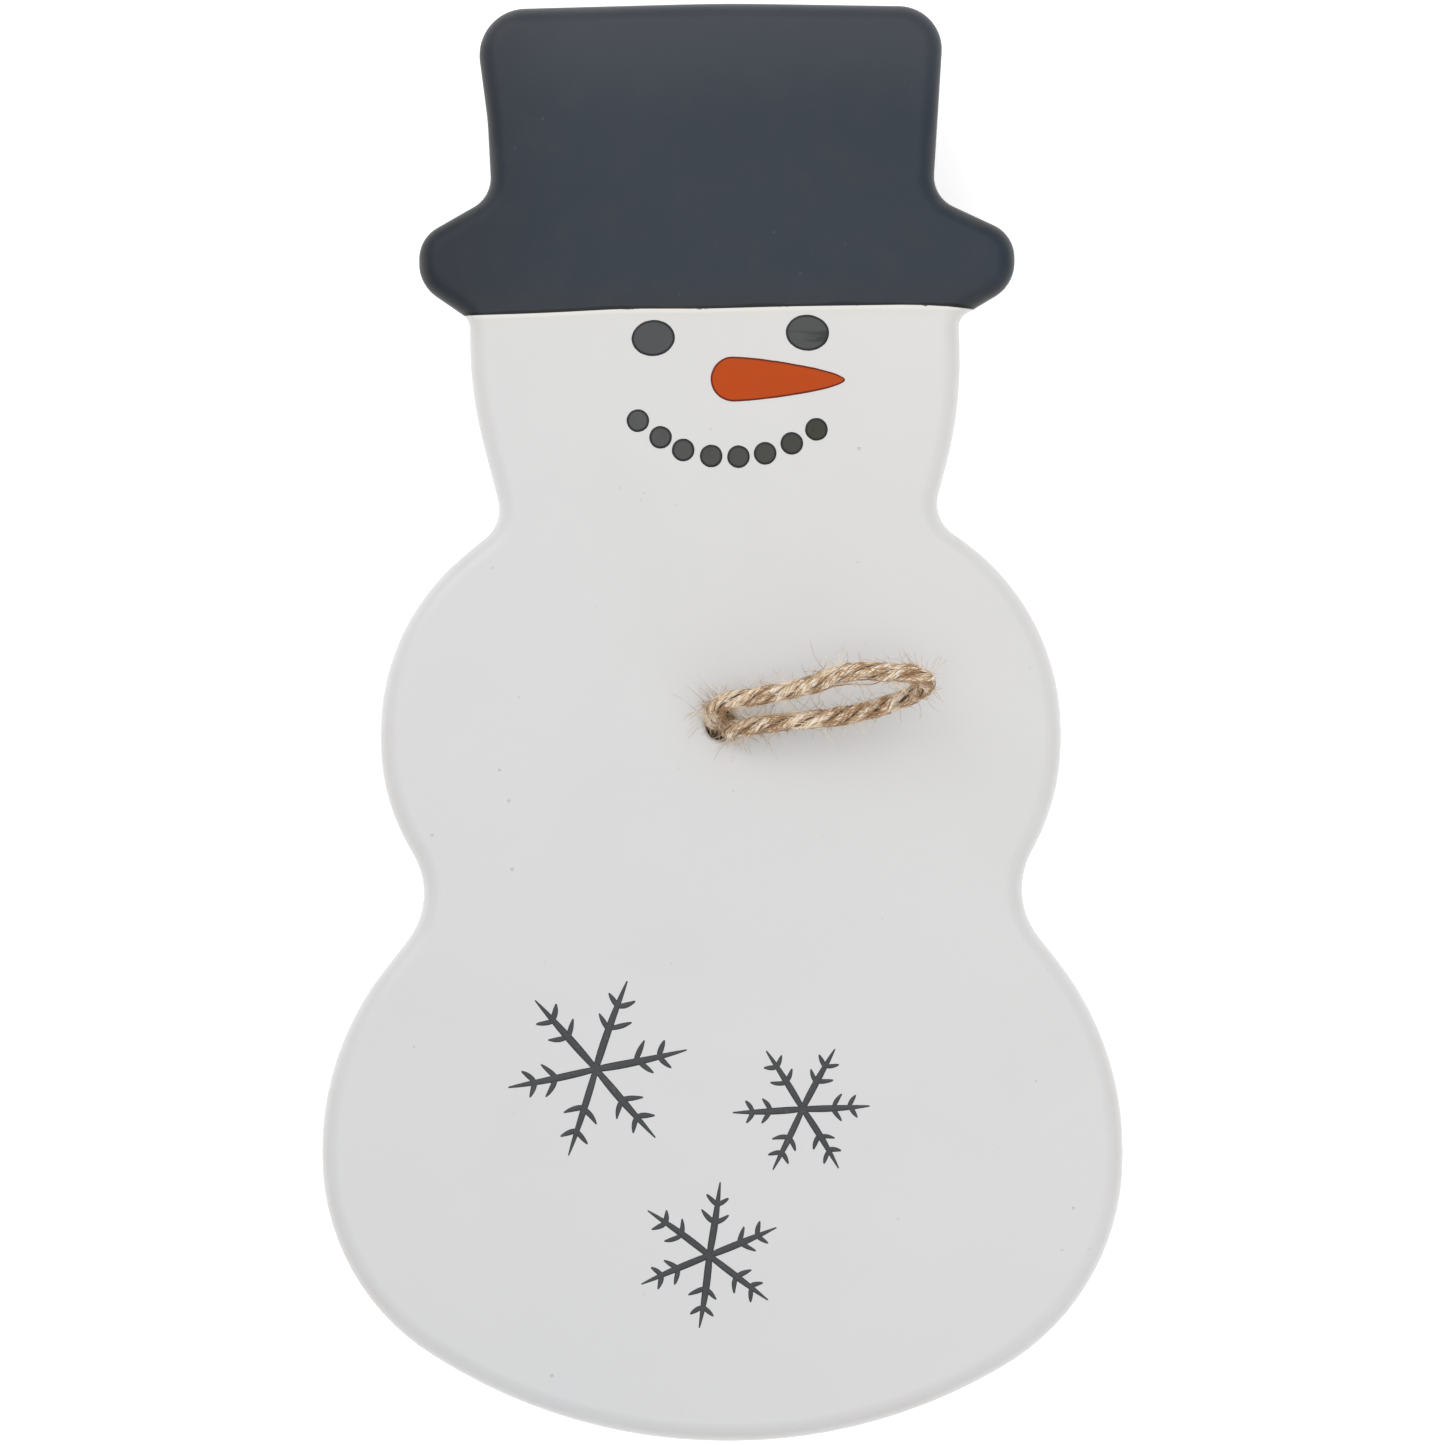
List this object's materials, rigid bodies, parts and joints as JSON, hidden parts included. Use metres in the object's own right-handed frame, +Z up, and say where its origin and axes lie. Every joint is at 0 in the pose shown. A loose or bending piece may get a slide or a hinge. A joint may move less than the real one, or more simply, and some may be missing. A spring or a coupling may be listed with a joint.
{
  "type": "covered dish",
  "caption": "Snowman-shaped covered dish in glazed ceramic: deep dish, lift-off lid with dark hat and painted face, jute loop handle through the lid.",
  "frame": {"origin": "on the table, under the middle of the dish's outline", "axes": "+Z up, +Y towards the hat, +X to the right when the snowman is seen from above with its hat away"},
  "size_m": [0.1204, 0.216, 0.0686],
  "materials": {
    "white_glaze": "satin",
    "hat_glaze": "satin",
    "charcoal_decal": "satin",
    "carrot_decal": "satin",
    "jute": "matte"
  },
  "bodies": {
    "dish": {"dish_body": "white_glaze", "dish_hat_glaze": "hat_glaze"},
    "lid": {"lid_body": "white_glaze", "lid_hat_glaze": "hat_glaze", "left_eye": "charcoal_decal", "right_eye": "charcoal_decal", "carrot_nose": "carrot_decal", "mouth_dot_1": "charcoal_decal", "mouth_dot_2": "charcoal_decal", "mouth_dot_3": "charcoal_decal", "mouth_dot_4": "charcoal_decal", "mouth_dot_5": "charcoal_decal", "mouth_dot_6": "charcoal_decal", "mouth_dot_7": "charcoal_decal", "mouth_dot_8": "charcoal_decal", "snowflake_upper": "charcoal_decal", "snowflake_middle": "charcoal_decal", "snowflake_lower": "charcoal_decal", "jute_loop": "jute", "stopper_knot": "jute", "cord_tail_left": "jute", "cord_tail_right": "jute"}
  },
  "joints": [
    {"name": "lid_lift", "type": "slide", "parent": "dish", "child": "lid", "axis": [0, 0, 1], "range_m": [0, 0.06]}
  ]
}
